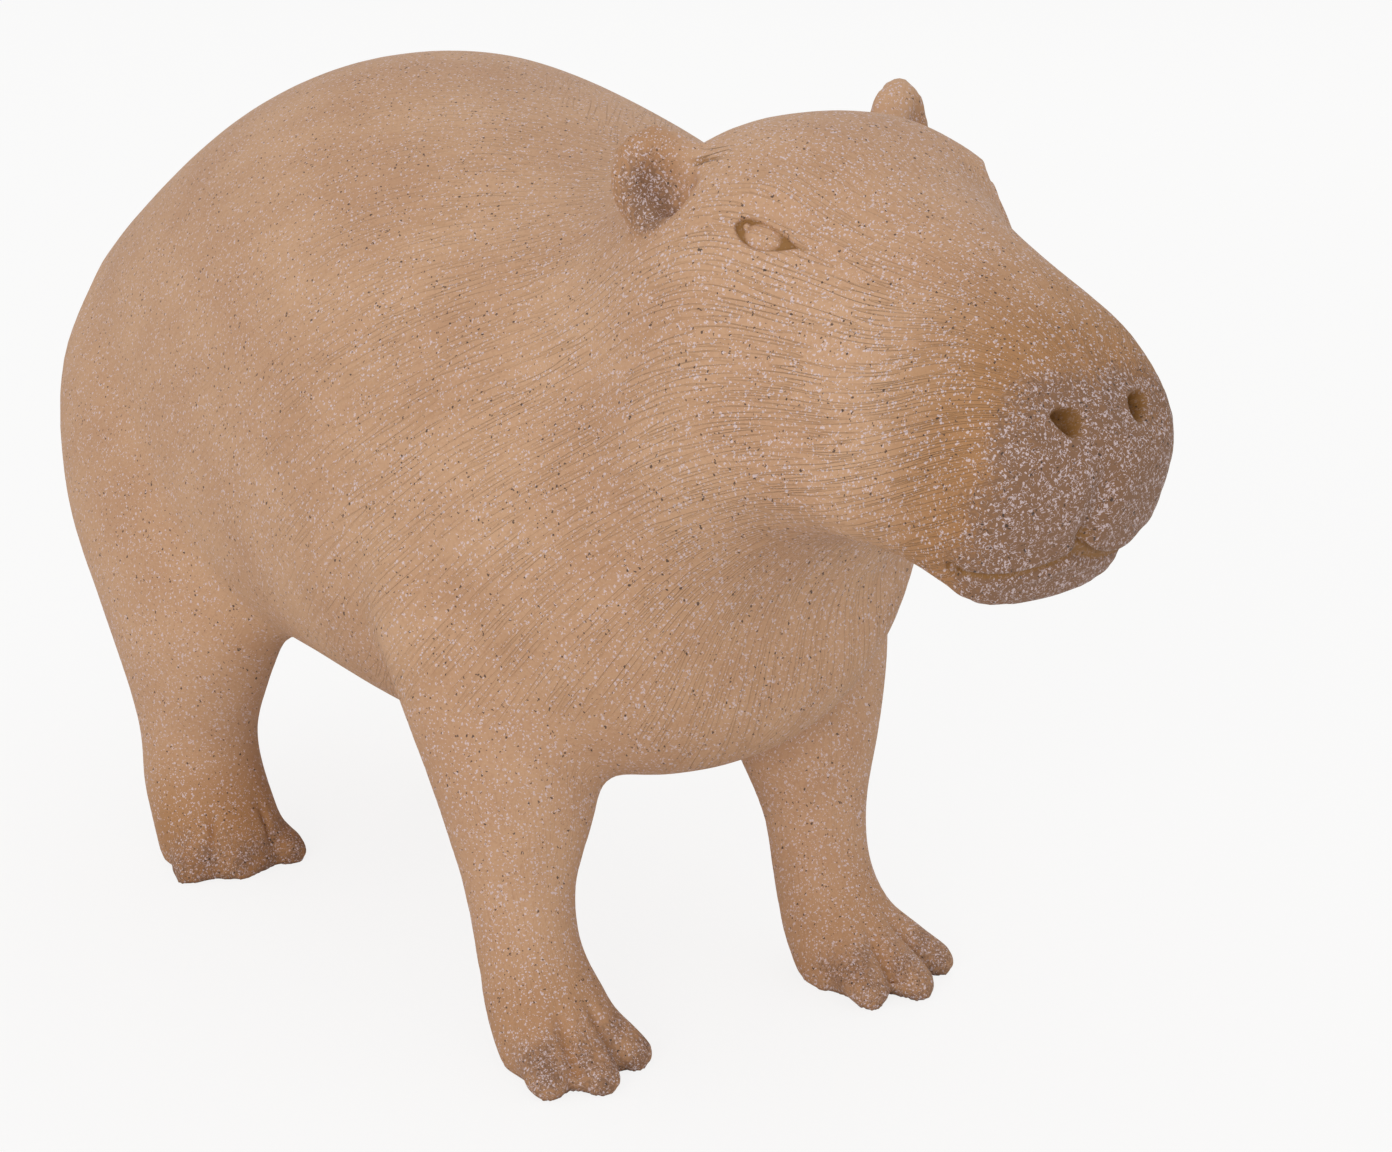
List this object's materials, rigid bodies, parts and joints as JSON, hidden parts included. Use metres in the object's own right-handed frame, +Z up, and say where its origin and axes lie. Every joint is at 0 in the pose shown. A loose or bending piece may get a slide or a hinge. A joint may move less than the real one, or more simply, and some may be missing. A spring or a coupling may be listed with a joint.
{
  "type": "capybara sculpture",
  "caption": "Cast capybara figure standing on its legs, head ahead, with cupped ears, almond eyes, nostrils, a blunt muzzle and flat soles to rest on.",
  "frame": {"origin": "centre of the figure's bounding box, on the ground under the soles", "axes": "+X ahead, the way the animal faces, +Y its left, +Z up"},
  "size_m": [0.3085, 0.1138, 0.1751],
  "materials": {
    "cast_stone": "matte tan cast stone, speckled pale and dark, with a darker wash on the muzzle, ears and toes"
  },
  "bodies": {
    "root": {"capybara_figure": "cast_stone"}
  },
  "joints": []
}
